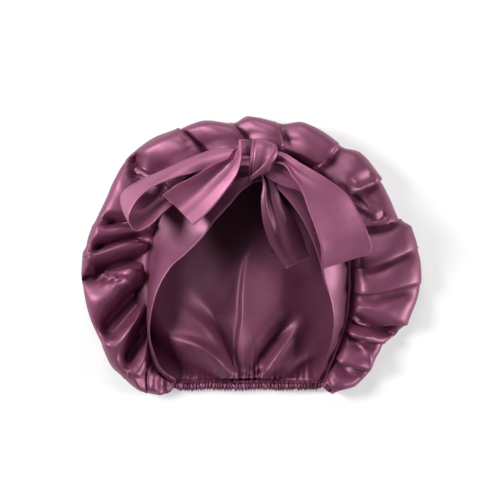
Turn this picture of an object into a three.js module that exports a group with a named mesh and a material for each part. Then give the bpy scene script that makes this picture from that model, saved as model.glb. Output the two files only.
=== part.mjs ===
// Satin sleep bonnet lying on the back of its crown, head opening up. Millimetres, +Z up.
// The origin is on the floor under the middle of the bonnet. +Y points to the forehead (the bow),
// -Y to the nape (the elastic). Every piece is a thin closed wall of cloth.
import * as THREE from 'three';

// ---- driving dimensions ----
const CLOTH = 1.5;            // wall of the crown
const RIBBON = 1.4;           // doubled ribbon of the band and the bow
const GAP = 0.5;              // space kept between neighbouring pieces
const CENTRE = { x: -4, y: -13.4 };   // pole that the crown's pleats turn around
const PLEAT_SAMPLES = [0, 0.22, 0.52, 0.84];   // where a pleat is sampled between two crests
const NAPE_Y = -119.6;        // inner side of the elastic casing
const NAPE_STEP = 6;          // degrees between crown sections along the nape
const ELASTIC_RADIUS = 4.1;
const ELASTIC_Y = -124.4;
const ELASTIC_LEFT = -65;
const ELASTIC_RIGHT = 59;
const ELASTIC_STEPS = 42;
const ELASTIC_SIDES = 8;
const ELASTIC_RUCHES = 14;
const RUCHE_DEPTH = 0.35;

// The band, a row for each section from the left end over the knot to the right end.
// x, y, z: the seam with the crown; xi, yi, zi: the free edge around the face;
// bulge: how far the middle stands off the straight line between them.
const BAND = table(['x', 'y', 'z', 'xi', 'yi', 'zi', 'bulge'], [
  [-76.5, -119.0, 6, -72.5, -118.0, 13, 1],
  [-89.0, -108.0, 7, -85.0, -108.0, 22, 1],
  [-95.5, -91.0, 8, -92.0, -93.5, 30, 1],
  [-97.5, -73.0, 9, -96.0, -75.5, 37, 1.5],
  [-98.5, -51.0, 10, -94.5, -55.0, 42, 2],
  [-98.5, -27.0, 11, -88.0, -31.5, 45, 3],
  [-96.5, 0.0, 13, -76.0, -10.5, 47, 5],
  [-91.0, 23.0, 17, -61.5, 2.5, 48, 5],
  [-83.5, 46.0, 22, -45.0, 19.0, 48, 4],
  [-69.5, 65.0, 27, -35.0, 33.0, 48, 4],
  [-48.5, 82.0, 31, -22.0, 47.0, 46, 3],
  [-22.0, 94.5, 34, -7.5, 63.0, 45, 2],
  [6.5, 101.0, 36, 8.0, 71.0, 44, 1],
  [32.5, 97.0, 34, 23.0, 65.5, 45, 2],
  [57.0, 82.0, 31, 37.0, 51.0, 46, 3],
  [77.0, 59.5, 26, 49.5, 33.0, 47, 4],
  [87.5, 33.0, 22, 59.0, 13.0, 48, 4],
  [92.0, 6.0, 18, 65.0, -5.0, 48, 5],
  [93.0, -17.5, 15, 69.0, -22.0, 47, 5],
  [92.5, -39.5, 12, 75.0, -39.5, 45, 3],
  [90.5, -58.5, 11, 78.0, -56.5, 41, 3],
  [86.0, -75.5, 10, 77.5, -73.5, 35, 2],
  [79.5, -92.5, 9, 73.5, -92.5, 27, 1],
  [73.5, -107.0, 8, 68.5, -107.5, 19, 1],
  [69.0, -118.5, 6, 64.5, -117.5, 12, 1],
]);

// The crown's pleats, counter-clockwise from the right end of the elastic, angles in degrees.
// rim, edge: where the crest leaves the band's seam and where it meets the outline;
// crest, belly, notch: the outline's radius at the crest, mid-panel and before the next crest;
// height: top of the puff over the floor; drop: the step down on the clockwise side.
const PLEATS = table(['rim', 'edge', 'crest', 'belly', 'notch', 'height', 'drop'], [
  [-57, -57, 134, 135, 139, 10, 0],
  [-55, -54, 145, 153, 154, 26, 6],
  [-44, -38, 154, 150, 148, 32, 7],
  [-31, -27, 149, 156, 161, 34, 6],
  [-24, -17, 163, 165, 166, 37, 10],
  [-11, -3, 167, 167, 166, 38, 6],
  [3, 9, 166, 164, 157, 39, 8],
  [24, 20, 154, 153, 154, 40, 5],
  [40, 36, 157, 157, 150, 41, 8],
  [58, 56, 151, 151, 144, 42, 5],
  [76, 81, 145, 149, 142, 42, 5],
  [94, 98, 142, 150, 150, 42, 7],
  [114, 118, 152, 156, 157, 41, 8],
  [135, 140, 156, 152, 152, 39, 9],
  [154, 163, 154, 156, 159, 37, 9],
  [167, 175, 159, 160, 159, 37, 9],
  [180, 187, 158, 155, 152, 38, 10],
  [191, 203, 155, 159, 160, 36, 9],
  [203, 213, 160, 159, 156, 34, 9],
  [214, 223, 156, 155, 153, 31, 7],
  [227, 232, 151, 147, 142, 22, 4],
  [236, 238, 138, 138, 138, 10, 0],
]);

// Sections of the ribbons of the bow, from the knot outwards: a and b are the ribbon's two edges,
// bulge how far its middle stands off the line between them.
const RIBBON_COLUMNS = ['ax', 'ay', 'az', 'bx', 'by', 'bz', 'bulge'];
const LOOP_LEFT = table(RIBBON_COLUMNS, [
  [-12, 101, 52, -9, 95, 56, 1],
  [-34, 101, 48, -41, 82, 59, 3],
  [-58, 93, 46, -67, 75, 67, 4],
  [-84, 80, 44, -90, 66, 72, 4],
  [-107, 71, 43, -103, 56, 73, 3],
  [-120, 62, 43, -111, 45, 73, 2],
  [-123, 52, 43, -114, 34, 72, 1],
  [-117, 43, 43, -107, 24, 70, 1],
  [-103, 44, 43, -94, 30, 64, 0],
  [-88, 54, 43, -81, 43, 54, -2],
  [-65, 69, 43, -58, 61, 50, -2],
  [-37, 82, 45, -30, 75, 51, -1],
  [-14, 91, 49, -11, 85, 53, 0],
]);
const LOOP_RIGHT = table(RIBBON_COLUMNS, [
  [29.5, 97, 60, 31, 86, 60, 1],
  [46, 87, 65, 39, 75, 64, 2],
  [68, 74, 69, 47, 63, 67, 3],
  [89, 58, 71, 54, 43, 70, 4],
  [101, 38, 72, 61, 24, 72, 4],
  [109, 20, 71, 65, 10, 72, 3],
  [112, 9, 66, 66, -2, 68, 2],
  [110, 2, 60, 66, -10, 63, 1],
  [105, 2, 54, 63, -10, 57, 0],
  [98, 10, 53, 57, -3, 55, -1],
  [87, 30, 54, 49, 16, 55, -2],
  [69, 56, 55, 42, 42, 55, -2],
  [47, 76, 54, 32, 63, 54, -1],
  [32, 83, 53, 27, 73, 53, 0],
]);
const TAIL_LEFT = table(RIBBON_COLUMNS, [
  [-14, 101, 64, -8, 109, 62, 1],
  [-22, 92, 65, -9, 93, 67, -2],
  [-35, 86, 66, -14, 77, 64, -3],
  [-53, 75, 66, -26, 60, 61, -4],
  [-69, 67, 65, -40, 43, 60, -4],
  [-82.5, 57.5, 63, -54, 30, 60, -3],
]);
const TAIL_RIGHT = table(RIBBON_COLUMNS, [
  [11, 69, 49, 23, 66, 49, 0],
  [9.5, 54, 46, 31, 50, 45, 2],
  [10.5, 39, 40, 42, 34, 41, 3],
  [13.5, 25, 34, 49, 18, 37, 3],
  [20, 9, 28, 52, 7, 34, 2],
  [33.5, -11, 23, 55, 0, 31, 1],
]);
const KNOT = { x: 10, y: 91, z: 53.5, width: 29, length: 36, height: 20, turn: 45 };

// ---- small helpers ----
function table(columns, rows) {
  return rows.map((row) => Object.fromEntries(columns.map((name, i) => [name, row[i]])));
}

function mix(a, b, t) {
  return a + (b - a) * t;
}

function smooth(t) {
  const s = Math.min(1, Math.max(0, t));
  return s * s * (3 - 2 * s);
}

// A smooth curve through one column of a table, at row position s.
function along(rows, name, s) {
  const i = Math.min(rows.length - 2, Math.max(0, Math.floor(s)));
  const t = s - i;
  const at = (k) => rows[Math.min(rows.length - 1, Math.max(0, k))][name];
  const start = at(i);
  const end = at(i + 1);
  const slopeIn = (end - at(i - 1)) / 2;
  const slopeOut = (at(i + 2) - start) / 2;
  const t2 = t * t;
  const t3 = t2 * t;
  return (2 * t3 - 3 * t2 + 1) * start + (t3 - 2 * t2 + t) * slopeIn
    + (3 * t2 - 2 * t3) * end + (t3 - t2) * slopeOut;
}

// Normal of a grid of points at row i, column j; rows may wrap around.
function gridNormal(grid, i, j, wraps) {
  const last = grid.length - 1;
  const before = wraps ? (i + last) % grid.length : Math.max(0, i - 1);
  const after = wraps ? (i + 1) % grid.length : Math.min(last, i + 1);
  const width = grid[i].length - 1;
  const alongRows = new THREE.Vector3().subVectors(grid[after][j], grid[before][j]);
  const across = new THREE.Vector3()
    .subVectors(grid[i][Math.min(width, j + 1)], grid[i][Math.max(0, j - 1)]);
  return alongRows.cross(across).normalize();
}

// Closed wall between two grids of the same size; outer faces out along rows x columns.
function wall(outer, inner, wraps) {
  const positions = [];
  const triangles = [];
  const rows = outer.length;
  const columns = outer[0].length;
  for (const grid of [outer, inner]) {
    for (const row of grid) {
      for (const p of row) positions.push(p.x, p.y, p.z);
    }
  }
  const at = (side, i, j) => side * rows * columns + (i % rows) * columns + j;
  const quad = (a, b, c, d) => triangles.push(a, b, c, a, c, d);
  const spans = wraps ? rows : rows - 1;
  for (let i = 0; i < spans; i++) {
    for (let j = 0; j < columns - 1; j++) {
      quad(at(0, i, j), at(0, i + 1, j), at(0, i + 1, j + 1), at(0, i, j + 1));
      quad(at(1, i, j), at(1, i, j + 1), at(1, i + 1, j + 1), at(1, i + 1, j));
    }
    quad(at(0, i, 0), at(1, i, 0), at(1, i + 1, 0), at(0, i + 1, 0));
    const j = columns - 1;
    quad(at(0, i, j), at(0, i + 1, j), at(1, i + 1, j), at(1, i, j));
  }
  if (!wraps) {
    const i = rows - 1;
    for (let j = 0; j < columns - 1; j++) {
      quad(at(0, 0, j), at(0, 0, j + 1), at(1, 0, j + 1), at(1, 0, j));
      quad(at(0, i, j), at(1, i, j), at(1, i, j + 1), at(0, i, j + 1));
    }
  }
  const geometry = new THREE.BufferGeometry();
  geometry.setAttribute('position', new THREE.Float32BufferAttribute(positions, 3));
  geometry.setIndex(triangles);
  return geometry;
}

// ---- ribbons: the band, the loops and the tails ----
function ribbonGrid(rows, edgeA, edgeB, steps, strips) {
  const grid = [];
  for (let i = 0; i <= steps; i++) {
    const s = (i / steps) * (rows.length - 1);
    const read = (names) => new THREE.Vector3(...names.map((name) => along(rows, name, s)));
    const a = read(edgeA);
    const b = read(edgeB);
    const bulge = along(rows, 'bulge', s);
    grid.push({ a, b, bulge, line: [] });
  }
  grid.forEach((section, i) => {
    const before = grid[Math.max(0, i - 1)];
    const after = grid[Math.min(grid.length - 1, i + 1)];
    const path = after.a.clone().add(after.b).sub(before.a).sub(before.b);
    const out = path.cross(section.b.clone().sub(section.a)).normalize();
    for (let j = 0; j <= strips; j++) {
      const t = j / strips;
      const point = section.a.clone().lerp(section.b, t);
      section.line.push(point.addScaledVector(out, section.bulge * 4 * t * (1 - t)));
    }
  });
  return grid.map((section) => section.line);
}

function ribbonWall(grid, thickness) {
  const shifted = (side) => grid.map((row, i) => row.map((p, j) =>
    p.clone().addScaledVector(gridNormal(grid, i, j, false), side * thickness / 2)));
  return wall(shifted(1), shifted(-1), false);
}

function bowRibbon(rows, stepsPerRow) {
  const steps = (rows.length - 1) * stepsPerRow;
  const grid = ribbonGrid(rows, ['ax', 'ay', 'az'], ['bx', 'by', 'bz'], steps, 4);
  return ribbonWall(grid, RIBBON);
}

function frontBand() {
  const steps = (BAND.length - 1) * 2;
  const grid = ribbonGrid(BAND, ['xi', 'yi', 'zi'], ['x', 'y', 'z'], steps, 4);
  return ribbonWall(grid, RIBBON);
}

// ---- crown ----
function polar(x, y) {
  return { angle: Math.atan2(y - CENTRE.y, x - CENTRE.x), radius: Math.hypot(x - CENTRE.x, y - CENTRE.y) };
}

// Band sections as polar rows, turned so that their angle grows from the right end to the left end.
const SEAM = [...BAND].reverse().map((row) => {
  const { angle, radius } = polar(row.x, row.y);
  const degrees = THREE.MathUtils.radToDeg(angle);
  return { degrees: degrees < -90 ? degrees + 360 : degrees, radius, z: row.z };
});

// Radius and height of the crown's rim just outside the band's seam.
function rimAt(degrees) {
  let i = 0;
  while (i < SEAM.length - 2 && SEAM[i + 1].degrees < degrees) i++;
  const t = Math.min(1, Math.max(0, (degrees - SEAM[i].degrees) / (SEAM[i + 1].degrees - SEAM[i].degrees)));
  return { radius: mix(SEAM[i].radius, SEAM[i + 1].radius, t) + RIM_OUT, z: mix(SEAM[i].z, SEAM[i + 1].z, t) };
}
const RIM_OUT = RIBBON / 2 + CLOTH / 2 + GAP + 0.6;

// Height of a pleat between its crest (t = 0) and the next crest (t = 1), from 1 to -1:
// a long gentle fall, then a steep rise.
const VALLEY = 0.8;
function pleatWave(t) {
  const phase = t < VALLEY ? 0.5 * t / VALLEY : 0.5 + 0.5 * (t - VALLEY) / (1 - VALLEY);
  return Math.cos(2 * Math.PI * phase);
}

// Everything the crown's section needs at pleat i, fraction t.
function pleatAt(i, t) {
  const row = PLEATS[i];
  const next = PLEATS[Math.min(PLEATS.length - 1, i + 1)];
  const outline = t < 0.5
    ? mix(row.crest, row.belly, smooth(t / 0.5))
    : t < VALLEY
      ? mix(row.belly, row.notch, smooth((t - 0.5) / (VALLEY - 0.5)))
      : mix(row.notch, next.crest, smooth((t - VALLEY) / (1 - VALLEY)));
  return {
    rim: mix(row.rim, next.rim, t),
    edge: mix(row.edge, next.edge, t),
    outline,
    height: mix(row.height, next.height, t),
    drop: mix(row.drop, next.drop, t),
    wave: pleatWave(t),
  };
}

// Points of the crown's wall from the rim over the puff, down the outside and in to the floor.
// out: share of the way from the rim to the outline; seam, up: shares of the rim's height and of the
// puff's height that make the point's height; fold: share of the pleat's step that shows there.
const PUFF_SECTION = table(['out', 'seam', 'up', 'fold'], [
  [0.00, 1.00, 0.00, 0.0],
  [0.10, 0.50, 0.48, 0.4],
  [0.24, 0.15, 0.83, 0.8],
  [0.42, 0.00, 1.00, 1.0],
  [0.62, 0.00, 0.96, 1.0],
  [0.80, 0.00, 0.82, 0.9],
  [0.93, 0.00, 0.62, 0.6],
  [1.00, 0.00, 0.38, 0.3],
  [0.96, 0.00, 0.15, 0.1],
  [0.84, 0.00, 0.00, 0.0],
]);
const FOOT = PUFF_SECTION[PUFF_SECTION.length - 1].out;
// Along the nape there is no puff: the wall turns down behind the elastic and runs in along the floor.
const NAPE_RIM = 7.5;
const NAPE_TURN = 8;
// Rings of the crown's floor and back panel, as shares of the radius where the floor begins.
const FLOOR_RINGS = [0.9, 0.78, 0.64, 0.48, 0.32, 0.16];

// Folds of the back panel that fan out from the elastic: a bump of the given height and width
// along a line from (x, y) near the elastic to (xf, yf).
const PANEL_FOLDS = table(['x', 'y', 'xf', 'yf', 'height', 'width'], [
  [-16, -100, -62, -66, 11, 13],
  [-4, -100, -4, -10, 8, 13],
  [8, -100, 44, -54, 12, 13],
]);
const PANEL_RADIUS = 92;      // beyond this radius the crown's floor is flat
const PANEL_FADE = 30;

function panelHeight(x, y) {
  const inside = smooth((PANEL_RADIUS - Math.hypot(x - CENTRE.x, y - CENTRE.y)) / PANEL_FADE);
  let height = 0;
  for (const fold of PANEL_FOLDS) {
    const dx = fold.xf - fold.x;
    const dy = fold.yf - fold.y;
    const t = Math.min(1, Math.max(0, ((x - fold.x) * dx + (y - fold.y) * dy) / (dx * dx + dy * dy)));
    const away = Math.hypot(x - fold.x - t * dx, y - fold.y - t * dy) / fold.width;
    height = Math.max(height, fold.height * (1 - 0.5 * t) * Math.exp(-away * away));
  }
  return height * inside;
}

function crownPoint(degrees, radius, z) {
  const angle = THREE.MathUtils.degToRad(degrees);
  return new THREE.Vector3(CENTRE.x + radius * Math.cos(angle), CENTRE.y + radius * Math.sin(angle), z);
}

function floorPoints(degrees, radius) {
  return FLOOR_RINGS.map((share) => {
    const p = crownPoint(degrees, radius * share, 0);
    p.z = panelHeight(p.x, p.y);
    return p;
  });
}

function puffColumn(pleat) {
  const rim = rimAt(pleat.rim);
  const line = PUFF_SECTION.map((section) => {
    const degrees = mix(pleat.rim, pleat.edge, smooth(section.out));
    const radius = mix(rim.radius, pleat.outline, section.out);
    const step = section.fold * pleat.drop * (pleat.wave - 1) / 2;
    return crownPoint(degrees, radius, section.seam * rim.z + section.up * pleat.height + step);
  });
  return [...line, ...floorPoints(pleat.edge, mix(rim.radius, pleat.outline, FOOT))];
}

function napeColumn(degrees) {
  const radius = (CENTRE.y - NAPE_Y) / Math.abs(Math.sin(THREE.MathUtils.degToRad(degrees)));
  const line = PUFF_SECTION.map((section, i) => {
    const turn = (i / (PUFF_SECTION.length - 1)) * Math.PI / 2;
    return crownPoint(degrees, radius - NAPE_TURN * (1 - Math.cos(turn)), NAPE_RIM * (1 - Math.sin(turn)));
  });
  return [...line, ...floorPoints(degrees, radius - NAPE_TURN)];
}

function crownColumns() {
  const columns = [];
  for (let i = 0; i < PLEATS.length - 1; i++) {
    for (const t of PLEAT_SAMPLES) columns.push(puffColumn(pleatAt(i, t)));
  }
  columns.push(puffColumn(pleatAt(PLEATS.length - 2, 1)));
  const first = PLEATS[PLEATS.length - 1].edge + NAPE_STEP / 2;
  for (let degrees = first; degrees < PLEATS[0].edge + 360; degrees += NAPE_STEP) {
    columns.push(napeColumn(degrees));
  }
  return columns;
}

// The inner face lies one cloth thickness inside, found from the local normal.
function crown() {
  const outer = crownColumns();
  const inner = outer.map((column, i) => column.map((p, j) =>
    p.clone().addScaledVector(gridNormal(outer, i, j, true), CLOTH)));
  return closeMiddle(wall(inner, outer, true), outer.length, outer[0].length);
}

// Takes the strip off the last ring of the floor and closes both faces with a fan to the middle.
function closeMiddle(shell, columns, rings) {
  const positions = [...shell.getAttribute('position').array];
  const onLastRing = (n) => n % rings === rings - 1;
  const triangles = [];
  const corners = [...shell.getIndex().array];
  while (corners.length) {
    const triangle = corners.splice(-3);
    if (!triangle.every(onLastRing)) triangles.push(...triangle);
  }
  const below = positions.length / 3;
  const above = below + 1;
  const height = panelHeight(CENTRE.x, CENTRE.y);
  positions.push(CENTRE.x, CENTRE.y, height, CENTRE.x, CENTRE.y, height + CLOTH);
  for (let i = 0; i < columns; i++) {
    const a = i * rings + rings - 1;
    const b = ((i + 1) % columns) * rings + rings - 1;
    triangles.push(a, b, above);
    triangles.push(columns * rings + b, columns * rings + a, below);
  }
  const geometry = new THREE.BufferGeometry();
  geometry.setAttribute('position', new THREE.Float32BufferAttribute(positions, 3));
  geometry.setIndex(triangles);
  return geometry;
}

// ---- elastic casing and knot ----
function napeElastic() {
  const length = ELASTIC_RIGHT - ELASTIC_LEFT;
  const profile = [new THREE.Vector2(0, 0)];
  for (let i = 0; i <= ELASTIC_STEPS; i++) {
    const t = i / ELASTIC_STEPS;
    const ruche = RUCHE_DEPTH * Math.cos(2 * Math.PI * ELASTIC_RUCHES * t);
    profile.push(new THREE.Vector2(ELASTIC_RADIUS - RUCHE_DEPTH + ruche, t * length));
  }
  profile.push(new THREE.Vector2(0, length));
  const geometry = new THREE.LatheGeometry(profile, ELASTIC_SIDES);
  geometry.rotateZ(-Math.PI / 2);
  return geometry;
}

function bowKnot() {
  const geometry = new THREE.SphereGeometry(0.5, 20, 14);
  geometry.rotateX(Math.PI / 2);
  geometry.scale(KNOT.width, KNOT.length, KNOT.height);
  return geometry;
}

// ---- assembly ----
const SATIN = { color: 0x8a4e6c, roughness: 0.38, metalness: 0.0 };

function piece(name, geometry, tint) {
  const material = new THREE.MeshStandardMaterial({ ...SATIN, side: THREE.DoubleSide });
  material.color.offsetHSL(0, 0, tint);
  const mesh = new THREE.Mesh(geometry, material);
  mesh.name = name;
  return mesh;
}

const bonnet = new THREE.Group();
bonnet.add(piece('crown', crown(), 0));
bonnet.add(piece('front_band', frontBand(), 0.03));

const elastic = piece('nape_elastic', napeElastic(), -0.03);
elastic.position.set(ELASTIC_LEFT, ELASTIC_Y, ELASTIC_RADIUS);
bonnet.add(elastic);

const bow = new THREE.Group();
const knot = piece('bow_knot', bowKnot(), 0.02);
knot.position.set(KNOT.x, KNOT.y, KNOT.z);
knot.rotation.z = -THREE.MathUtils.degToRad(KNOT.turn);
bow.add(knot);
bow.add(piece('bow_loop_left', bowRibbon(LOOP_LEFT, 2), 0.04));
bow.add(piece('bow_loop_right', bowRibbon(LOOP_RIGHT, 2), 0.04));
bow.add(piece('bow_tail_left', bowRibbon(TAIL_LEFT, 3), 0.05));
bow.add(piece('bow_tail_right', bowRibbon(TAIL_RIGHT, 3), 0.01));
bonnet.add(bow);

// The floor is z = 0 and the middle of the bonnet's box is x = y = 0.
const box = new THREE.Box3().setFromObject(bonnet);
const middle = box.getCenter(new THREE.Vector3());
bonnet.position.set(-middle.x, -middle.y, -box.min.z);

export default bonnet;
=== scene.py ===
"""Looks of the satin sleep bonnet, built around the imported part. It lies on its crown, seen from above."""

import math

import bpy
import numpy as np
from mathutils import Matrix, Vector, noise


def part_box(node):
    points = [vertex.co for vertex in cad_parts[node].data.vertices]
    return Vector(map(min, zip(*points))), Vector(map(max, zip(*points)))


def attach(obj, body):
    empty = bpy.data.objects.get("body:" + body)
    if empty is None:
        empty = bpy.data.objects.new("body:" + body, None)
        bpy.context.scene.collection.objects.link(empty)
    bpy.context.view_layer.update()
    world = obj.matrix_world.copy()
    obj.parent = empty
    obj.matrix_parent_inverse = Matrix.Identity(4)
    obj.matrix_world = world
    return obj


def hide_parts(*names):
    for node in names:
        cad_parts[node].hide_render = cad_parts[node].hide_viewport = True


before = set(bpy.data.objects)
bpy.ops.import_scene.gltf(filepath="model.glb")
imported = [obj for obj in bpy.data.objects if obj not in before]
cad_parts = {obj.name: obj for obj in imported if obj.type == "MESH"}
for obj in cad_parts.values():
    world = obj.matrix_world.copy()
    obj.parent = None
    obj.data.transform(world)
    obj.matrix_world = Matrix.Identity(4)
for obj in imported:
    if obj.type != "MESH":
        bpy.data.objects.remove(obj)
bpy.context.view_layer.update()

MM = 0.001                       # the tables below are in millimetres
CENTRE = np.array([-4.0, -13.4])  # pole that the crown's pleats turn around
KNOT = {"x": 10.0, "y": 91.0, "z": 53.5, "width": 25.0, "length": 34.0, "height": 19.0, "lean": -14.0}


def frame_shift():
    """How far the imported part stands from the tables' own origin, in millimetres."""
    low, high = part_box("bow_knot")
    middle = (low + high) / 2 / MM
    return np.array([middle.x - KNOT["x"], middle.y - KNOT["y"], 0.0])


SHIFT = frame_shift()


def table(columns, rows):
    names = columns.split()
    return [dict(zip(names, row)) for row in rows]


# ---- tables of the bonnet's form: the part's own, with the left pleats, the band's left bulges and
# the bow's ends placed a little differently ----
BAND = table("x y z xi yi zi bulge", [
    [-76.5, -119.0, 6, -72.5, -118.0, 13, 1],
    [-89.0, -108.0, 7, -85.0, -108.0, 22, 1],
    [-95.5, -91.0, 8, -92.0, -93.5, 30, 1],
    [-97.5, -73.0, 9, -96.0, -75.5, 37, 1.5],
    [-98.5, -51.0, 10, -94.5, -55.0, 42, 2],
    [-98.5, -27.0, 11, -88.0, -31.5, 45, 3],
    [-96.5, 0.0, 13, -76.0, -10.5, 47, 2],
    [-91.0, 23.0, 17, -61.5, 2.5, 48, 0],
    [-83.5, 46.0, 22, -45.0, 19.0, 48, -1],
    [-69.5, 65.0, 27, -35.0, 33.0, 48, 4],
    [-48.5, 82.0, 31, -22.0, 47.0, 46, 3],
    [-22.0, 94.5, 34, -7.5, 63.0, 45, 2],
    [6.5, 101.0, 36, 8.0, 71.0, 44, 1],
    [32.5, 97.0, 34, 23.0, 65.5, 45, 2],
    [57.0, 82.0, 31, 37.0, 51.0, 46, 3],
    [77.0, 59.5, 26, 49.5, 33.0, 47, 4],
    [87.5, 33.0, 22, 59.0, 13.0, 48, 4],
    [92.0, 6.0, 18, 65.0, -5.0, 48, 5],
    [93.0, -17.5, 15, 69.0, -22.0, 47, 5],
    [92.5, -39.5, 12, 75.0, -39.5, 45, 3],
    [90.5, -58.5, 11, 78.0, -56.5, 41, 3],
    [86.0, -75.5, 10, 77.5, -73.5, 35, 2],
    [79.5, -92.5, 9, 73.5, -92.5, 27, 1],
    [73.5, -107.0, 8, 68.5, -107.5, 19, 1],
    [69.0, -118.5, 6, 64.5, -117.5, 12, 1],
])

# A row for each pleat of the crown, counter-clockwise from the right end of the elastic.
# rim, edge: angle of the crest at the seam and at the outline; crest, belly, notch: outline radii;
# height: top of the puff; drop: step on the clockwise side; deep: pocket between the seam and the
# puff's shoulder; hold: share of the panel that stays high; lap: degrees by which the crest lies over
# the next hollow; slope: share of the height lost on the way out.
PLEATS = table("rim edge crest belly notch height drop deep hold lap slope", [
    [-57, -57, 134, 135, 139, 10, 0, 0, 0.5, 0, 0.0],
    [-55, -54, 145, 153, 154, 26, 10, 8, 0.6, 2, 0.1],
    [-44, -38, 154, 150, 148, 33, 10, 8, 0.5, 2, 0.2],
    [-31, -27, 149, 156, 161, 35, 12, 10, 0.5, 2, 0.3],
    [-24, -17, 163, 165, 166, 38, 12, 4, 0.6, 3, 0.3],
    [-11, -3, 167, 167, 166, 38, 6, 2, 0.55, 2, 0.3],
    [3, 9, 166, 164, 157, 39, 8, 3, 0.5, 3, 0.3],
    [24, 20, 154, 153, 154, 40, 9, 8, 0.35, 3, 0.15],
    [40, 36, 157, 157, 150, 42, 10, 4, 0.6, 3, 0.2],
    [58, 56, 151, 151, 144, 43, 8, 2, 0.6, 3, 0.05],
    [76, 81, 145, 149, 142, 43, 8, 2, 0.6, 3, 0.05],
    [94, 98, 142, 150, 150, 43, 11, 2, 0.6, 4, 0.0],
    [114, 118, 152, 156, 157, 42, 12, 4, 0.6, 4, 0.0],
    [135, 140, 156, 152, 152, 40, 8, 6, 0.6, 3, 0.15],
    [156, 165, 154, 156, 159, 37, 3, 4, 0.5, 2, 0.15],
    [165, 176, 159, 160, 159, 36, 5, 4, 0.4, 2, 0.15],
    [182, 186, 158, 157, 156, 41, 14, 6, 0.6, 4, 0.4],
    [200, 209, 157, 159, 157, 36, 2, 4, 0.5, 2, 0.2],
    [212, 223, 156, 155, 153, 33, 3, 4, 0.5, 2, 0.1],
    [226, 232, 151, 147, 142, 22, 6, 8, 0.4, 2, 0.0],
    [236, 238, 138, 138, 138, 10, 0, 0, 0.5, 0, 0.0],
])
VALLEY = 0.84                    # share of a pleat at which its hollow is lowest

# Section of the puff from the rim to the floor: out is the share of the way to the outline; seam and
# up are shares of the rim's and of the puff's height; fold, near and lean are the shares of a
# pleat's drop, of its pocket and of its lap that show there; crease is the share of the crown folds.
SECTION = table("out seam up fold near lean crease", [
    [0.00, 1.00, 0.00, 0.0, 0.0, 0.0, 0.0],
    [0.05, 0.60, 0.40, 0.3, 0.5, 0.3, 0.5],
    [0.13, 0.25, 0.76, 0.6, 0.9, 0.7, 0.9],
    [0.25, 0.06, 0.92, 0.8, 1.0, 1.0, 1.0],
    [0.41, 0.00, 0.98, 1.0, 0.9, 1.0, 1.0],
    [0.57, 0.00, 1.00, 1.0, 0.65, 1.0, 1.0],
    [0.72, 0.00, 0.98, 1.0, 0.25, 0.9, 1.0],
    [0.85, 0.00, 0.92, 0.9, 0.0, 0.8, 0.9],
    [0.94, 0.00, 0.78, 0.7, 0.0, 0.7, 0.7],
    [0.985, 0.00, 0.57, 0.5, 0.0, 0.6, 0.4],
    [1.00, 0.00, 0.34, 0.2, 0.0, 0.5, 0.1],
    [0.97, 0.00, 0.13, 0.1, 0.0, 0.3, 0.0],
    [0.90, 0.00, 0.03, 0.0, 0.0, 0.1, 0.0],
    [0.80, 0.00, 0.00, 0.0, 0.0, 0.0, 0.0],
])

# Pockets (below zero) and thin ridges pinched into the puff, each a line of points with its height
# and how wide it is on its right and on its left side going along the line.
CROWN_FOLDS = [
    {"line": [(-104, 30), (-117, 31), (-130, 32), (-145, 32)], "height": -22, "right": 5, "left": 4.5},
    {"line": [(-94, 15), (-112, 18), (-137, 12), (-156, 4)], "height": -20, "right": 6, "left": 4},
    {"line": [(-98, 13), (-114, 9), (-132, 2), (-160, -3)], "height": 5, "right": 2.2, "left": 2.2},
    {"line": [(-94, 1), (-110, -2), (-130, -7), (-156, -16)], "height": -25, "right": 6, "left": 7},
    {"line": [(-118, -22), (-136, -20), (-154, -21), (-166, -23)], "height": -26, "right": 3, "left": 3.5},
    {"line": [(-97, -26), (-110, -37), (-124, -56), (-143, -79)], "height": -34, "right": 8, "left": 9},
    {"line": [(-98, -44), (-108, -62), (-122, -78), (-146, -83)], "height": 7, "right": 3, "left": 3},
    {"line": [(-112, -63), (-122, -69), (-134, -75)], "height": 5, "right": 2, "left": 2},
    {"line": [(-96, -60), (-105, -76), (-113, -90), (-121, -106)], "height": -29, "right": 6, "left": 7},
    {"line": [(-96, -72), (-99, -92), (-105, -110), (-112, -108), (-110, -97)],
     "height": 6, "right": 2.2, "left": 2.2},
    {"line": [(-91, -84), (-94, -98), (-93, -114)], "height": -9, "right": 3.5, "left": 3},
    {"line": [(-89, -108), (-91, -118), (-91, -132)], "height": 4, "right": 2.5, "left": 2.5},
    {"line": [(-112, -116), (-106, -126), (-99, -134)], "height": 3.5, "right": 2.5, "left": 2.5},
    {"line": [(-94, 66), (-108, 76), (-112, 88), (-108, 104)], "height": -18, "right": 6, "left": 5},
    {"line": [(-94, 72), (-106, 79), (-124, 93)], "height": 5, "right": 2.5, "left": 2.5},
    {"line": [(-57, 104), (-62, 112), (-70, 124)], "height": -6, "right": 5, "left": 3},
    {"line": [(94, 66), (119, 77)], "height": -5, "right": 8, "left": 7},
    {"line": [(88, 70), (103, 58), (124, 37)], "height": 5, "right": 3, "left": 3},
    {"line": [(89, 57), (105, 46), (124, 35)], "height": 4, "right": 2.5, "left": 3},
    {"line": [(110, 31), (120, 35), (130, 40)], "height": -4, "right": 3, "left": 3},
    {"line": [(96, -56), (108, -63), (122, -69), (142, -76)], "height": -20, "right": 5, "left": 5},
    {"line": [(94, -58), (106, -67), (112, -74), (100, -84)], "height": 5, "right": 2.5, "left": 2.5},
    {"line": [(92, -80), (106, -85), (115, -98), (116, -106), (112, -113), (85, -104)],
     "height": 4, "right": 2.5, "left": 2.5},
    {"line": [(70, -112), (74, -123), (79, -134)], "height": -9, "right": 4, "left": 3},
]

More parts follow.
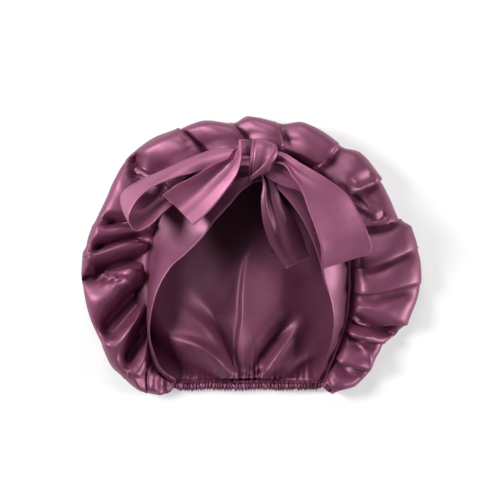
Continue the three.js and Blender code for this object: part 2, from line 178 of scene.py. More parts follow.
# Folds of the back panel, seen through the head opening: a crest line of points, its height (below
# zero for a hollow), and how wide it is on its right and on its left side going along the line.
PANEL_FOLDS = [
    {"line": [(-6, -121), (-10, -108), (-12.5, -84), (-9, -60), (-8, -34), (-4, -4), (6, 18)],
     "height": 10, "right": 34, "left": 2.2},
    {"line": [(4, -118), (14, -86), (26, -52), (30, -14), (30, 20)],
     "height": 9, "right": 24, "left": 24},
    {"line": [(-17, -119), (-24, -108), (-36, -95), (-58, -82), (-90, -75)],
     "height": 17, "right": 6, "left": 12},
    {"line": [(-22, -118), (-31, -113), (-42, -107)], "height": 6, "right": 3, "left": 4},
    {"line": [(-18, -112), (-32, -84), (-50, -64), (-80, -50)], "height": 11, "right": 8, "left": 15},
    {"line": [(-14, -116), (-20, -92), (-34, -62), (-62, -24)], "height": -9, "right": 12, "left": 9},
    {"line": [(4, -110), (13, -94), (25, -78), (47, -54)], "height": -15, "right": 8, "left": 8},
    {"line": [(10, -120), (18, -106), (32, -86), (56, -52)], "height": 9, "right": 10, "left": 7},
    {"line": [(4, -121), (8, -112), (14, -105)], "height": -5, "right": 2.5, "left": 2.5},
    {"line": [(30, -118), (46, -104), (70, -92)], "height": 5, "right": 6, "left": 5},
]


# Ribbons of the bow from the knot outwards: a and b are the two edges, bulge how far the middle
# stands off the line between them.
EDGES = "ax ay az bx by bz bulge"
LOOP_LEFT = table(EDGES, [
    [4, 99, 53, 5, 90, 56, 0],
    [-12, 101, 52, -9, 95, 56, 1],
    [-34, 101, 48, -41, 82, 59, 3],
    [-58, 93, 46, -67, 75, 67, 4],
    [-84, 80, 44, -90, 66, 72, 4],
    [-107, 71, 43, -103, 56, 73, 3],
    [-120, 62, 43, -111, 45, 73, 2],
    [-123, 52, 43, -114, 34, 72, 1],
    [-117, 43, 43, -107, 24, 70, 1],
    [-103, 44, 43, -94, 30, 64, 0],
    [-88, 54, 43, -81, 43, 54, -2],
    [-65, 69, 43, -58, 61, 50, -2],
    [-37, 82, 45, -30, 75, 51, -1],
    [-14, 91, 49, -11, 85, 53, 0],
    [3, 92, 51, 4, 84, 53, 0],
])
LOOP_RIGHT = table(EDGES, [
    [17, 98, 57, 17, 88, 57, 0],
    [29.5, 97, 60, 31, 86, 60, 1],
    [46, 87, 65, 39, 75, 64, 2],
    [68, 74, 69, 47, 63, 67, 3],
    [89, 58, 71, 54, 43, 70, 4],
    [101, 38, 72, 61, 24, 72, 4],
    [109, 20, 71, 65, 10, 72, 3],
    [112, 9, 66, 66, -2, 68, 2],
    [110, 2, 60, 67, -11, 62, 1],
    [105, 2, 53, 67, -9, 54, 0],
    [98, 10, 51, 68, 2, 51, -1],
    [87, 30, 52, 66, 22, 50, -2],
    [72, 52, 53, 60, 45, 50, -3],
    [56, 70, 53, 47, 61, 51, -4],
    [40, 82, 54, 32, 66, 52, -3],
    [28, 88, 54, 16, 74, 53, -3],
    [16, 92, 53, 8, 82, 52, 0],
])
TAIL_LEFT = table(EDGES, [
    [2, 97, 58, 4, 106, 58, 0],
    [-14, 101, 64, -8, 109, 62, 1],
    [-22, 92, 65, -9, 93, 67, -2],
    [-35, 86, 66, -14, 77, 64, -3],
    [-53, 75, 66, -26, 60, 61, -4],
    [-69, 67, 65, -40, 43, 60, -4],
    [-82.5, 57.5, 63, -54, 30, 60, -3],
])
TAIL_RIGHT = table(EDGES, [
    [6, 83, 50, 16, 83, 50, 0],
    [11, 69, 50, 23, 66, 47, 0],
    [9.5, 54, 50, 31, 50, 41, 2],
    [10.5, 39, 47, 42, 34, 35, 3],
    [13.5, 25, 42, 49, 18, 30, 3],
    [20, 9, 36, 52, 7, 27, 2],
    [33.5, -11, 29, 55, 0, 26, 1],
])


# ---- small mathematics ----
def smooth(t):
    s = np.clip(t, 0.0, 1.0)
    return s * s * (3 - 2 * s)


def along(rows, name, s):
    """Smooth curve through one column of a table at the row positions s."""
    values = np.array([row[name] for row in rows], float)
    last = len(values) - 1
    s = np.asarray(s, float)
    i = np.clip(np.floor(s).astype(int), 0, last - 1)
    t = s - i
    start, end = values[i], values[i + 1]
    into = (end - values[np.maximum(i - 1, 0)]) / 2
    out = (values[np.minimum(i + 2, last)] - start) / 2
    return ((2 * t**3 - 3 * t**2 + 1) * start + (t**3 - 2 * t**2 + t) * into
            + (3 * t**2 - 2 * t**3) * end + (t**3 - t**2) * out)


def columns_along(rows, names, s):
    return np.stack([along(rows, name, s) for name in names.split()], axis=-1)


def unit(v):
    length = np.linalg.norm(v, axis=-1, keepdims=True)
    return v / np.maximum(length, 1e-9)


def ripple(points, size, seed):
    """Smooth noise from -1 to 1 at each point; size is the noise's scale in millimetres."""
    offset = Vector((seed * 17.3, seed * 5.1, seed * 9.7))
    flat = points.reshape(-1, 3) / size
    values = [noise.noise(Vector(p) + offset) for p in flat]
    return np.array(values).reshape(points.shape[:-1])


def grid_normals(grid, wraps):
    if wraps:
        down = np.roll(grid, -1, axis=0) - np.roll(grid, 1, axis=0)
    else:
        down = np.gradient(grid, axis=0)
    across = np.gradient(grid, axis=1)
    return unit(np.cross(down, across))


# ---- meshes ----
def add_mesh(name, points, faces):
    mesh = bpy.data.meshes.new(name)
    mesh.from_pydata(((np.asarray(points) + SHIFT) * MM).tolist(), [], faces)
    mesh.validate()
    mesh.shade_smooth()
    piece = bpy.data.objects.new(name, mesh)
    bpy.context.collection.objects.link(piece)
    return piece


def grid_faces(rows, columns, wrap_rows, wrap_columns=False):
    faces = []
    for i in range(rows if wrap_rows else rows - 1):
        for j in range(columns if wrap_columns else columns - 1):
            a = i * columns + j
            b = ((i + 1) % rows) * columns + j
            c = ((i + 1) % rows) * columns + (j + 1) % columns
            d = i * columns + (j + 1) % columns
            faces.append((a, d, c, b))
    return faces


# ---- crown ----
def seam_polar():
    """The band's seam as rising angles with the radius and height there."""
    x = np.array([row["x"] for row in BAND][::-1]) - CENTRE[0]
    y = np.array([row["y"] for row in BAND][::-1]) - CENTRE[1]
    degrees = np.degrees(np.arctan2(y, x))
    degrees[degrees < -90] += 360
    return degrees, np.hypot(x, y), np.array([row["z"] for row in BAND][::-1], float)


SEAM_DEGREES, SEAM_RADIUS, SEAM_Z = seam_polar()
RIM_OUT = 1.8                    # the crown's rim lies just outside the band's seam
SECTION_STEPS = 64
FLOOR_STEPS = 76
PLEAT_STEPS = 25
PANEL_MIDDLE = (22.0, 6.0)       # where the floor's columns meet
STEP_SHARES = ((0, 0.5, 1), (0, 0.62, 1))    # a pleat's columns are closer together on its step
NAPE_STEPS = 90
NAPE_Y = -121.0
NAPE_RIM = 8.6
NAPE_TURN = 4.5
PANEL_EDGE = 113.0
UNDER_STEPS = 6
LOWEST_POCKET = 4.0
CROWN_FOLD_FADE = 0.22           # share of a fold's length over which it dies away
PANEL_FOLD_FADE = 0.55
SPIKE_REACH = 4                  # cloth can't stand in spikes: a point is at most SPIKE_HEIGHT
SPIKE_HEIGHT = 1.6               # above the mean of its neighbours
FLOOR_GAP = 0.5                  # the floor side of the cloth stands this far over the ground


def pleat_wave(t, hold):
    """1 at a pleat's crest, falling slowly to -1 in its hollow, then rising sharply to the next crest."""
    if t < VALLEY:
        fall = (t / VALLEY) ** (math.log(0.5) / math.log(hold))
        return 1 - 2 * float(smooth(fall))
    return -1 + 2 * (1 - math.cos((t - VALLEY) / (1 - VALLEY) * math.pi / 2))


def pleat_lap(t):
    if t < 0.5:
        return 1 - float(smooth(t / 0.5))
    return max(0.0, (t - VALLEY) / (1 - VALLEY)) ** 2


def outline_at(row, after, t):
    if t < 0.5:
        return row["crest"] + (row["belly"] - row["crest"]) * float(smooth(t / 0.5))
    if t < VALLEY:
        share = float(smooth((t - 0.5) / (VALLEY - 0.5)))
        return row["belly"] + (row["notch"] - row["belly"]) * share
    return row["notch"] + (after["crest"] - row["notch"]) * ((t - VALLEY) / (1 - VALLEY)) ** 1.5


def between(row, after, name, t):
    return row[name] + (after[name] - row[name]) * t


def polar_points(degrees, radius, z):
    angle = np.radians(degrees)
    return np.stack([CENTRE[0] + radius * np.cos(angle), CENTRE[1] + radius * np.sin(angle), z], axis=-1)


def puff_column(i, t, s):
    row, after = PLEATS[i], PLEATS[min(i + 1, len(PLEATS) - 1)]
    rim = between(row, after, "rim", t)
    edge = between(row, after, "edge", t)
    drop = between(row, after, "drop", t ** 3)
    deep = between(row, after, "deep", t)
    lap = after["lap"] if t > 0.5 else row["lap"]
    low = (pleat_wave(t, row["hold"]) - 1) / 2
    out = along(SECTION, "out", s)
    rim_radius = np.interp(rim, SEAM_DEGREES, SEAM_RADIUS) + RIM_OUT
    rim_z = np.interp(rim, SEAM_DEGREES, SEAM_Z)
    outline = outline_at(row, after, t)
    height = between(row, after, "height", t)
    degrees = rim + (edge - rim) * smooth(out) - lap * pleat_lap(t) * along(SECTION, "lean", s)
    radius = rim_radius + (outline - rim_radius) * out
    slope = between(row, after, "slope", t)
    height = height * (1 - slope * smooth((out - 0.15) / 0.85))
    z = (along(SECTION, "seam", s) * rim_z + along(SECTION, "up", s) * height
         + low * (drop * along(SECTION, "fold", s) + deep * along(SECTION, "near", s)))
    foot = rim_radius + (outline - rim_radius) * SECTION[-1]["out"]
    return polar_points(degrees, radius, np.maximum(z, 0)), edge, foot


def blurred(height, reach):
    """Mean height over a window of 2 * reach + 1 points along both ways of the grid."""
    for axis in (0, 1):
        pad = [(reach, reach) if a == axis else (0, 0) for a in (0, 1)]
        total = np.cumsum(np.pad(height, pad, mode="edge"), axis=axis)
        total = np.insert(total, 0, 0, axis=axis)
        size = 2 * reach + 1
        high = np.take(total, range(size, total.shape[axis]), axis=axis)
        low = np.take(total, range(total.shape[axis] - size), axis=axis)
        height = (high - low) / size
    return height


def pinch_crown(puff, pleat_columns, s):
    """Press the pockets and ridges into the upper side of the puff."""
    upper = puff[:pleat_columns]
    height = np.zeros(upper.shape[:-1])
    for fold in CROWN_FOLDS:
        height += fold_height(upper, fold, CROWN_FOLD_FADE)
    pressed = upper[..., 2] + height * along(SECTION, "crease", s)
    lowest = np.minimum(upper[..., 2], LOWEST_POCKET)
    pressed = np.maximum(pressed, lowest)
    puff[:pleat_columns, :, 2] = np.minimum(pressed, blurred(pressed, SPIKE_REACH) + SPIKE_HEIGHT)


def nape_column(degrees, s):
    radius = (CENTRE[1] - NAPE_Y) / abs(math.sin(math.radians(degrees)))
    turn = s / (len(SECTION) - 1) * math.pi / 2
    z = NAPE_RIM * (1 - np.sin(turn))
    line = polar_points(np.full_like(s, degrees), radius - NAPE_TURN * (1 - np.cos(turn)), z)
    return line, degrees, radius - NAPE_TURN


def panel_radius(degrees):
    """Where the flat underside ends and the panel begins, which is nearer along the nape."""
    to_nape = (CENTRE[1] - NAPE_Y) / max(-math.sin(math.radians(degrees)), 0.1)
    return min(PANEL_EDGE, to_nape - NAPE_TURN - 1.5)


def floor_column(degrees, foot):
    """From the puff's foot to the panel, and on to just short of its middle, where columns meet."""
    start = polar_points(degrees, foot, 0.0)
    edge = polar_points(degrees, panel_radius(degrees), 0.0)
    middle = np.array([*PANEL_MIDDLE, 0.0])
    under = np.linspace(0, 1, UNDER_STEPS + 1)[1:, None]
    share = np.linspace(0, 1, FLOOR_STEPS + 2)[1:-1, None]
    return np.concatenate([start + (edge - start) * under, edge + (middle - edge) * share])


def fold_line(points):
    """Smooth curve through a fold's few points."""
    rows = [{"x": x, "y": y} for x, y in points]
    return columns_along(rows, "x y", np.linspace(0, len(rows) - 1, 8 * len(rows)))


def fold_height(points, fold, far_fade):
    """Height of one fold at each point: a ridge or hollow along its line with two different flanks,
    which dies away over the last far_fade of its length."""
    line = fold_line(fold["line"])
    lengths = np.linalg.norm(np.diff(line, axis=0), axis=1)
    best = np.full(points.shape[:-1], 1e9)
    side = np.zeros(points.shape[:-1])
    place = np.zeros(points.shape[:-1])
    walked = 0.0
    for k, length in enumerate(lengths):
        step = line[k + 1] - line[k]
        rel = points[..., :2] - line[k]
        t = np.clip((rel @ step) / length**2, 0, 1)
        away = rel - t[..., None] * step
        distance = np.linalg.norm(away, axis=-1)
        closer = distance < best
        turn = (step[0] * away[..., 1] - step[1] * away[..., 0]) / (length * np.maximum(distance, 1e-6))
        best = np.where(closer, distance, best)
        side = np.where(closer, turn, side)
        place = np.where(closer, (walked + t * length) / lengths.sum(), place)
        walked += length
    share = (1 + side) / 2
    width = fold["left"] * share + fold["right"] * (1 - share)
    fade = smooth((1 - place) / far_fade) * (0.45 + 0.55 * smooth(place / 0.25))
    return fold["height"] * fade * np.exp(-np.abs(best / width) ** 1.7)


def panel_height(points):
    """Height of the back panel: a slope down to the main crease, the fanned folds and a soft swell."""
    x, y = points[..., 0], points[..., 1]
    height = 2 + 14 * smooth((-12 - x) / 62)
    for fold in PANEL_FOLDS:
        height += fold_height(points, fold, PANEL_FOLD_FADE)
    height += 1.2 * ripple(points, 60, 3) + 0.2 * ripple(points, 17, 6)
    distance = np.hypot(x - CENTRE[0], y - CENTRE[1])
    return np.maximum(height, 0.3) * smooth((118 - distance) / 22)


def nape_gathers(points):
    """Fine gathers that the elastic draws into the cloth, highest beside it and deepest mid-way."""
    x, from_nape = points[..., 0], np.maximum(points[..., 1] - NAPE_Y, 0)
    turn = 1.15 * x + 2.4 * np.sin(0.17 * x) + 1.2 * np.sin(0.45 * x + 2)
    middle = np.exp(-((x + 3) / 16) ** 2)
    reach = 9 + 10 * middle + 4 * np.sin(0.37 * x)
    fade = np.exp(-(from_nape / reach) ** 1.5) * smooth((92 - np.abs(x + 4)) / 14)
    return (1.3 + 1.1 * middle) * (0.8 + np.sin(turn)) * fade


def crown_grid():
    s = np.linspace(0, len(SECTION) - 1, SECTION_STEPS + 1)
    columns = []
    for i in range(len(PLEATS) - 1):
        for k in range(PLEAT_STEPS):
            columns.append(puff_column(i, float(np.interp(k / PLEAT_STEPS, *STEP_SHARES)), s))
    first, last = PLEATS[-1]["edge"], PLEATS[0]["edge"] + 360
    columns.append(puff_column(len(PLEATS) - 2, 1.0, s))
    pleat_columns = len(columns)
    for degrees in np.linspace(first, last, NAPE_STEPS + 2)[1:-1]:
        columns.append(nape_column(degrees, s))
    puff = np.array([line for line, _, _ in columns])
    pinch_crown(puff, pleat_columns, s)
    floor = np.array([floor_column(edge, foot) for _, edge, foot in columns])
    floor[..., 2] += panel_height(floor)
    grid = np.concatenate([puff, floor], axis=1)
    inside = (grid[..., 1] > NAPE_Y - 1) & (np.abs(grid[..., 0] + 4) < 70)
    grid[..., 2] += np.where(inside, nape_gathers(grid), 0)
    return grid


def crown():
    grid = crown_grid()
    ring = np.arange(grid.shape[1])
    fade = (smooth(ring / 8.0) * smooth((len(ring) - 2 - ring) / 6.0))[None, :]
    upper = smooth(grid[..., 2] / 6)
    normals = grid_normals(grid, True)
    swell = 2.0 * ripple(grid, 42, 1) + 0.6 * ripple(grid, 15, 2)
    puffed = 1 - 0.85 * smooth((ring - SECTION_STEPS) / 6)[None, :]
    grid = grid + normals * (swell * fade * upper * puffed)[..., None]
    grid[..., 2] = np.maximum(grid[..., 2], 0) + FLOOR_GAP
    rows, columns = grid.shape[:2]
    faces = grid_faces(rows, columns, True)
    middle = rows * columns
    for i in range(rows):
        faces.append((i * columns + columns - 1, ((i + 1) % rows) * columns + columns - 1, middle))
    centre = grid[:, -1].mean(axis=0)
    bag = add_mesh("crown_satin", np.vstack([grid.reshape(-1, 3), centre]), faces)
    from_panel = np.arange(columns) - SECTION_STEPS - UNDER_STEPS
    # painted shade mask: 1 on the back panel seen through the head opening, where the satin's base colour is
    # darkened as if in shadow
    painted_shade = np.append(np.tile(smooth(from_panel / 3 + 1), rows), 1.0)
    bag.data.attributes.new("inside", "FLOAT", "POINT").data.foreach_set("value", painted_shade)
    return bag


# ---- ribbons ----
def ribbon_lines(rows, edge_a, edge_b, steps, strips, shape=None, crumple=0.4, seed=1):
    """Grid of points of a ribbon's middle surface."""
    s = np.linspace(0, len(rows) - 1, steps + 1)
    a = columns_along(rows, edge_a, s)
    b = columns_along(rows, edge_b, s)
    bulge = along(rows, "bulge", s)
    t = np.linspace(0, 1, strips + 1)
    path = np.gradient(a + b, axis=0)
    out = unit(np.cross(path, b - a))
    rise = bulge[:, None] * 4 * t * (1 - t)
    if shape is not None:
        rise = rise + shape(s[:, None] / (len(rows) - 1), t[None, :])
    grid = a[:, None] + (b - a)[:, None] * t[None, :, None] + out[:, None] * rise[..., None]
    grid = grid + grid_normals(grid, False) * (crumple * ripple(grid, 22, seed))[..., None]
    return grid


def hem(t, width):
    """Extra thickness along both edges of a ribbon, where its layers are turned in."""
    away = np.minimum(t, 1 - t) * width
    return 0.12 * np.exp(-((away - 0.8) / 0.9) ** 2)


def join_meshes(parts):
    """Points and faces of several meshes as one."""
    points, faces = [], []
    for part_points, part_faces in parts:
        start = sum(len(p) for p in points)
        points.append(part_points)
        faces += [tuple(start + v for v in face) for face in part_faces]
    return np.vstack(points), faces


def ribbon_solid(grid, thickness):
    """Points and faces of a closed ribbon with rounded edges, from its middle surface."""
    normals = grid_normals(grid, False)
    rows, columns = grid.shape[:2]
    t = np.linspace(0, 1, columns)
    width = np.linalg.norm(np.diff(grid, axis=1), axis=-1).sum(axis=1).mean()
    half = (thickness / 2 + hem(t, width))[None, :, None]
    top = grid + normals * half
    bottom = grid - normals * half
    side_a = grid[:, :1] + unit(grid[:, :1] - grid[:, 1:2]) * thickness * 0.6
    side_b = grid[:, -1:] + unit(grid[:, -1:] - grid[:, -2:-1]) * thickness * 0.6
    loop = np.concatenate([top, side_b, bottom[:, ::-1], side_a], axis=1)
    around = loop.shape[1]
    faces = grid_faces(rows, around, False, True)
    for end, flip in ((0, False), (rows - 1, True)):
        base = end * around
        for j in range(columns - 1):
            quad = (base + j, base + j + 1, base + around - 3 - j, base + around - 2 - j)
            faces.append(quad[::-1] if flip else quad)
        tip_b = (base + columns - 1, base + columns, base + columns + 1)
        tip_a = (base, base + around - 2, base + around - 1)
        faces.append(tip_b[::-1] if flip else tip_b)
        faces.append(tip_a[::-1] if flip else tip_a)
    return loop.reshape(-1, 3), faces


def ribbon(name, grid, thickness=0.9):
    return add_mesh(name, *ribbon_solid(grid, thickness))


def band_folds(s, t):
    """Gathers of the band where it is drawn in under the knot."""
    near_knot = np.exp(-((s - 0.5) / 0.09) ** 2)
    return near_knot * 1.1 * np.sin(t * math.pi * 3 + 0.6)


def tail_left_gutter(s, t):
    """The left tail is a trough: one side slopes down to its middle, the other stands up."""
    hollow = np.sin(math.pi * np.clip(t / 0.74, 0, 1))
    wall = smooth((t - 0.5) / 0.5)
    return (5.2 * wall - 4.4 * hollow) * (0.25 + 0.75 * smooth(s * 1.6))


def tail_right_gutter(s, t):
    """A crest along the centre tail's left side with a hollow beside it, both fading to the cut end."""
    crest = np.exp(-((t - 0.14) / 0.12) ** 2)
    hollow = np.exp(-((t - 0.36) / 0.13) ** 2)
    return (2.4 * crest - 3.6 * hollow) * (1 - 0.9 * smooth(s * 1.4 - 0.3))


def loop_right_folds(s, t):
    """Two soft folds where the loop's legs are gathered into the knot."""
    near = np.exp(-(s / 0.16) ** 2) + np.exp(-((1 - s) / 0.16) ** 2)
    return 2.2 * near * np.cos(t * math.pi * 2.6 + 0.5)


A_EDGE, B_EDGE = "ax ay az", "bx by bz"


def bow_ribbon(name, rows, steps, strips, shape, seed):
    return ribbon(name, ribbon_lines(rows, A_EDGE, B_EDGE, steps, strips, shape, 0.5, seed))


# ---- elastic casing and knot ----
ELASTIC = {"left": -74.0, "right": 68.0, "y": -124.2, "radius": 4.2, "steps": 900, "sides": 36}


def nape_elastic():
    """The casing: a flattish tube crowded into fine uneven gathers that cross it."""
    x = np.linspace(ELASTIC["left"], ELASTIC["right"], ELASTIC["steps"] + 1)
    turn = np.linspace(0, 2 * math.pi, ELASTIC["sides"], endpoint=False)
    round_y, round_z = 4 * np.cos(turn)[None, :], 4 * np.sin(turn)[None, :]
    flat = np.stack(np.broadcast_arrays(x[:, None], round_y, round_z), axis=-1)
    phase = 2.0 * x + 2.6 * np.sin(0.21 * x) + 1.7 * np.sin(0.63 * x + 1)
    bend = 2.2 * ripple(flat, 5.0, 8)
    gather = np.sin(phase[:, None] + bend)
    fine = np.sin(2.3 * phase[:, None] - 1.4 * bend + 2 * np.cos(turn)[None, :])
    lump = 0.5 * ripple(flat, 9.0, 9)
    radius = ELASTIC["radius"] - 0.3 + 0.75 * gather + 0.3 * fine + lump
    taper = smooth((x - x[0]) / 5) * smooth((x[-1] - x) / 5)
    radius = radius * (0.55 + 0.45 * taper[:, None])
    wander = 0.5 * np.sin(x * 0.13 + 0.5)
    points = np.stack([
        np.broadcast_to(x[:, None], radius.shape),
        ELASTIC["y"] + wander[:, None] + 1.12 * radius * np.cos(turn),
        np.maximum(ELASTIC["radius"] + 0.9 * radius * np.sin(turn), FLOOR_GAP)], axis=-1)
    rows, sides = points.shape[:2]
    faces = grid_faces(rows, sides, False, True)
    faces.append(tuple(range(sides)))
    faces.append(tuple((rows - 1) * sides + j for j in reversed(range(sides))))
    return add_mesh("nape_casing", points.reshape(-1, 3), faces)


# The knot's wrap from its tucked top to its tucked foot, and the strip pulled across it.
KNOT_WRAP = table(EDGES, [
    [-1, 108, 46, 20, 104, 46, 2],
    [0.5, 110.5, 52, 21.5, 105.5, 52, 2],
    [1.5, 109, 58, 22, 103.5, 59, 1],
    [1, 104, 62.5, 21.5, 98, 64, 0],
    [0, 95, 64.5, 20, 92, 66, -1],
    [-1, 86, 63, 17, 86, 63, -1],
    [-1.5, 78, 58.5, 12, 80, 57, 0],
    [-1.5, 73.5, 51, 9, 77, 49, 1],
    [0, 75, 45, 10, 80, 45, 1],
])
KNOT_STRIP = table(EDGES, [
    [18, 107, 54, 23, 105, 52, 0],
    [19.5, 104, 61.5, 24, 102, 60, 0.5],
    [19.5, 99, 66, 24.5, 97.5, 64.5, 1],
    [16.5, 91.5, 67.5, 22, 90.5, 65, 1.2],
    [9.5, 83, 66, 14.5, 83.5, 63.5, 1.2],
    [2, 77, 61, 6, 76, 60, 1],
    [-3, 72.5, 54, 0, 71, 53, 0.5],
    [-4, 71, 48, 0, 70, 48, 0],
])


def knot_folds(s, t):
    """Soft lengthwise folds of the wrap, and the crease at its left side."""
    return 0.22 * np.cos(t * math.pi * 4 + 2 * s) - 1.2 * np.exp(-((t - 0.1) / 0.06) ** 2)


def bow_knot():
    """The knot: a broad wrap over the gathered legs, and a narrow strip pulled across it."""
    wrap = ribbon_lines(KNOT_WRAP, "ax ay az", "bx by bz", 90, 44, knot_folds, 0.5, 12)
    strip = ribbon_lines(KNOT_STRIP, "ax ay az", "bx by bz", 90, 20, None, 0.25, 13)
    parts = [ribbon_solid(wrap, 1.2), ribbon_solid(strip, 1.0), knot_core()]
    return add_mesh("bow_knot_wrap", *join_meshes(parts))


def knot_core():
    """Rounded stuffing under the wrap, where the bow's legs are crushed together."""
    rows, sides = 40, 64
    polar = np.linspace(0, math.pi, rows + 2)[1:-1]
    turn = np.linspace(0, 2 * math.pi, sides, endpoint=False)
    across = np.sin(polar)[:, None] * np.cos(turn)[None, :] * (KNOT["width"] / 2 - 1)
    length = np.sin(polar)[:, None] * np.sin(turn)[None, :] * (KNOT["length"] / 2 - 2)
    height = np.broadcast_to(np.cos(polar)[:, None] * (KNOT["height"] / 2 - 1), across.shape)
    angle = math.radians(KNOT["lean"])
    c, s = math.cos(angle), math.sin(angle)
    points = np.stack([
        KNOT["x"] + c * across - s * length,
        KNOT["y"] + s * across + c * length,
        KNOT["z"] + height], axis=-1)
    faces = grid_faces(rows, sides, False, True)
    faces.append(tuple(range(sides)))
    faces.append(tuple((rows - 1) * sides + j for j in reversed(range(sides))))
    return points.reshape(-1, 3), faces


# ---- materials ----
PAINTED_INSIDE_SHADE = (0.74, 0.62, 0.68)  # painted shade: the back panel seen through the head opening is darkened as if in shadow
INSIDE_ROUGHER = 0.06            # the cloth's wrong side there is also duller


def cloth_colour(nodes, links, cloud, inside, deep, bright):
    """Base colour: faint clouds between two shades, multiplied down by painted shade where the inside
    attribute marks the back panel seen through the head opening.
    """
    painted_shade_mix = nodes.new("ShaderNodeMix")
    painted_shade_mix.data_type = "RGBA"
    painted_shade_mix.blend_type = "MULTIPLY"
    painted_shade_mix.inputs["B"].default_value = (*PAINTED_INSIDE_SHADE, 1)
    links.new(inside.outputs["Fac"], painted_shade_mix.inputs["Factor"])
    ramp = nodes.new("ShaderNodeValToRGB")
    ramp.color_ramp.elements[0].position = 0.3
    ramp.color_ramp.elements[0].color = (*deep, 1)
    ramp.color_ramp.elements[1].position = 0.72
    ramp.color_ramp.elements[1].color = (*bright, 1)
    links.new(cloud.outputs["Fac"], ramp.inputs["Fac"])
    links.new(ramp.outputs["Color"], painted_shade_mix.inputs["A"])
    return painted_shade_mix.outputs["Result"]


def cloth_roughness(nodes, links, cloud, inside):
    rough = nodes.new("ShaderNodeMapRange")
    rough.inputs["To Min"].default_value = 0.45
    rough.inputs["To Max"].default_value = 0.52
    links.new(cloud.outputs["Fac"], rough.inputs["Value"])
    duller = nodes.new("ShaderNodeMath")
    duller.operation = "MULTIPLY_ADD"
    duller.inputs[1].default_value = INSIDE_ROUGHER
    links.new(inside.outputs["Fac"], duller.inputs[0])
    links.new(rough.outputs["Result"], duller.inputs[2])
    return duller.outputs["Value"]


def cloth_relief(nodes, links, place, seed):
    """Normal with a fine weave, whose threads are much longer than wide, under small soft creases."""
    stretch = nodes.new("ShaderNodeMapping")
    stretch.inputs["Scale"].default_value = (2600, 420, 2600)
    stretch.inputs["Rotation"].default_value = (0.2, 0.1, 0.4 + seed)
    links.new(place.outputs["Object"], stretch.inputs["Vector"])
    weave = nodes.new("ShaderNodeTexNoise")
    weave.inputs["Scale"].default_value = 1
    weave.inputs["Detail"].default_value = 2
    links.new(stretch.outputs["Vector"], weave.inputs["Vector"])
    crease = nodes.new("ShaderNodeTexNoise")
    crease.inputs["Scale"].default_value = 140
    crease.inputs["Detail"].default_value = 4
    crease.inputs["Distortion"].default_value = 0.6
    links.new(place.outputs["Object"], crease.inputs["Vector"])
    fine = nodes.new("ShaderNodeBump")
    fine.inputs["Strength"].default_value = 0.12
    fine.inputs["Distance"].default_value = 0.0002
    links.new(weave.outputs["Fac"], fine.inputs["Height"])
    soft = nodes.new("ShaderNodeBump")
    soft.inputs["Strength"].default_value = 0.25
    soft.inputs["Distance"].default_value = 0.0006
    links.new(crease.outputs["Fac"], soft.inputs["Height"])
    links.new(fine.outputs["Normal"], soft.inputs["Normal"])
    return soft.outputs["Normal"]


def satin(name, deep, bright, seed):
    """Plum satin: coloured wide gloss, a fine weave, faint clouds of tone, painted shade on the back panel,
    and small creases.
    """
    material = bpy.data.materials.new(name)
    material.use_nodes = True
    nodes, links = material.node_tree.nodes, material.node_tree.links
    nodes.clear()
    output = nodes.new("ShaderNodeOutputMaterial")
    shader = nodes.new("ShaderNodeBsdfPrincipled")
    links.new(shader.outputs["BSDF"], output.inputs["Surface"])
    shader.inputs["Metallic"].default_value = 0.5
    shader.inputs["Sheen Weight"].default_value = 0.12
    shader.inputs["Sheen Roughness"].default_value = 0.4
    shader.inputs["Sheen Tint"].default_value = (*bright, 1)
    shader.inputs["Specular IOR Level"].default_value = 1.0

    place = nodes.new("ShaderNodeTexCoord")
    cloud = nodes.new("ShaderNodeTexNoise")
    cloud.inputs["Scale"].default_value = 26
    cloud.inputs["Detail"].default_value = 3
    links.new(place.outputs["Object"], cloud.inputs["Vector"])
    # the inside attribute marks where painted shade darkens the base colour
    inside = nodes.new("ShaderNodeAttribute")
    inside.attribute_name = "inside"
    links.new(cloth_colour(nodes, links, cloud, inside, deep, bright), shader.inputs["Base Color"])
    links.new(cloth_roughness(nodes, links, cloud, inside), shader.inputs["Roughness"])
    links.new(cloth_relief(nodes, links, place, seed), shader.inputs["Normal"])
    return material


# ---- stage ----
LIGHTS = [
    {"name": "key", "place": (-2.1, 0.5, 1.6), "size": (1.0, 1.0), "power": 84},
    {"name": "top", "place": (-0.3, 2.0, 1.5), "size": (1.2, 1.2), "power": 27},
    {"name": "fill", "place": (0.4, -1.6, 1.6), "size": (1.2, 1.2), "power": 3},
    {"name": "right", "place": (2.0, -0.15, 0.75), "size": (0.6, 1.0), "power": 42},
]
FLOOR_HALF = 6.0                 # metres
FLOOR_DROP = 0.0004              # keeps the floor just under the part's lowest face
FLOOR_SHADE = 0.53
FLOOR_GLOW = 0.44                # the floor's own glow, which keeps its shadows soft
WORLD_GLOW = 0.03                # how brightly the surround lights the bonnet
BACKDROP_GLOW = 0.9              # how bright it looks behind the floor's far edge


def area_light(name, place, size, power):
    """A soft rectangular light aimed at the bonnet."""
    data = bpy.data.lights.new(name, "AREA")
    data.shape = "RECTANGLE"
    data.size, data.size_y = size
    data.energy = power
    light = bpy.data.objects.new(name, data)
    light.location = place
    light.rotation_mode = "QUATERNION"
    light.rotation_quaternion = (-Vector(place)).to_track_quat("-Z", "Y")
    bpy.context.collection.objects.link(light)


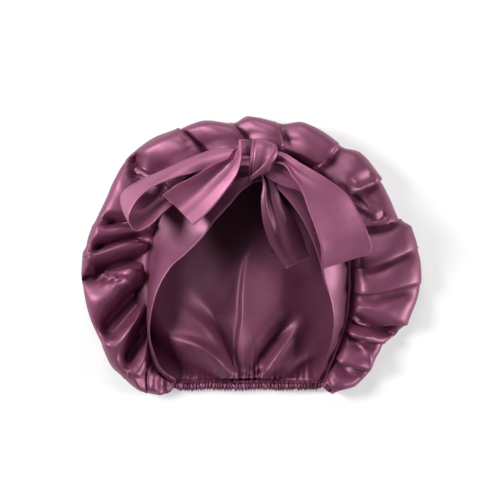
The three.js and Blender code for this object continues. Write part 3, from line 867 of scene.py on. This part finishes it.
def stage():
    corners = np.array([[-1, -1, 0], [1, -1, 0], [1, 1, 0], [-1, 1, 0]]) * FLOOR_HALF
    floor = add_mesh("floor", corners / MM, [(0, 1, 2, 3)])
    floor.location.z = -FLOOR_DROP
    material = bpy.data.materials.new("pale_floor")
    material.use_nodes = True
    shader = material.node_tree.nodes["Principled BSDF"]
    shader.inputs["Base Color"].default_value = (FLOOR_SHADE, FLOOR_SHADE, FLOOR_SHADE, 1)
    shader.inputs["Roughness"].default_value = 0.9
    shader.inputs["Specular IOR Level"].default_value = 0.0
    shader.inputs["Emission Color"].default_value = (1, 1, 1, 1)
    shader.inputs["Emission Strength"].default_value = FLOOR_GLOW
    floor.data.materials.append(material)
    world = bpy.data.worlds.new("studio")
    world.use_nodes = True
    nodes, links = world.node_tree.nodes, world.node_tree.links
    background = nodes["Background"]
    background.inputs["Color"].default_value = (1, 1, 1, 1)
    ray = nodes.new("ShaderNodeLightPath")
    glow = nodes.new("ShaderNodeMapRange")
    glow.inputs["To Min"].default_value = WORLD_GLOW
    glow.inputs["To Max"].default_value = BACKDROP_GLOW
    links.new(ray.outputs["Is Camera Ray"], glow.inputs["Value"])
    links.new(glow.outputs["Result"], background.inputs["Strength"])
    bpy.context.scene.world = world
    for light in LIGHTS:
        area_light(**light)


FRAME_WIDTH = 0.475              # metres of floor across the picture
LENS = 150
SENSOR = 36
MID_HEIGHT = 0.03                # height at which the picture has that width


def camera():
    """Straight above the bonnet, with a long lens."""
    data = bpy.data.cameras.new("camera")
    data.lens = LENS
    data.sensor_width = SENSOR
    height = FRAME_WIDTH * LENS / SENSOR + MID_HEIGHT
    cam = bpy.data.objects.new("camera", data)
    cam.location = (-0.0005, 0.0054, height)
    cam.rotation_euler = (0, 0, 0)
    bpy.context.collection.objects.link(cam)
    bpy.context.scene.camera = cam


# ---- assembly ----
def finish_piece(piece, node, material):
    piece.data.materials.append(material)
    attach(piece, "root")
    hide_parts(node)


def build():
    body = satin("satin_crown", (0.175, 0.038, 0.09), (0.23, 0.053, 0.122), 0.0)
    strip = satin("satin_band", (0.175, 0.041, 0.093), (0.225, 0.055, 0.124), 0.9)
    ruched = satin("satin_elastic", (0.17, 0.038, 0.09), (0.25, 0.059, 0.135), 1.7)
    bow = satin("satin_bow", (0.29, 0.078, 0.163), (0.38, 0.115, 0.222), 0.5)
    # painted shade: the knot is a darker copy of the bow's satin, standing in for the shade among its crushed
    # folds
    knot_painted_shade = satin("satin_knot_painted_shade", (0.22, 0.056, 0.12), (0.3, 0.084, 0.17), 0.5)
    # painted shade: a darker copy of the bow's satin for the centre tail, which lies in the right loop's
    # shadow
    painted_shade = satin("satin_bow_painted_shade", (0.17, 0.042, 0.092), (0.23, 0.06, 0.125), 0.5)

    bag = crown()
    finish_piece(bag, "crown", body)

    band = ribbon("front_band_satin", ribbon_lines(BAND, "xi yi zi", "x y z", 420, 26, band_folds, 0.35, 4))
    finish_piece(band, "front_band", strip)

    casing = nape_elastic()
    finish_piece(casing, "nape_elastic", ruched)

    knot = bow_knot()
    finish_piece(knot, "bow_knot", knot_painted_shade)
    for name, node, rows, steps, strips, shape, flat, cloth in (
            ("loop_left_satin", "bow_loop_left", LOOP_LEFT, 220, 22, None, (0.26, 0.032), bow),
            ("loop_right_satin", "bow_loop_right", LOOP_RIGHT, 220, 26, loop_right_folds, (0.26, 0.038), bow),
            ("tail_left_satin", "bow_tail_left", TAIL_LEFT, 120, 32, tail_left_gutter, (0.1, 0.034), bow),
            ("tail_right_satin", "bow_tail_right", TAIL_RIGHT, 120, 32, tail_right_gutter, (0.09, 0.03),
             painted_shade)):
        piece = bow_ribbon(name, rows, steps, strips, shape, 5)
        finish_piece(piece, node, cloth)


stage()
camera()
build()
bpy.context.scene.view_settings.view_transform = "Standard"
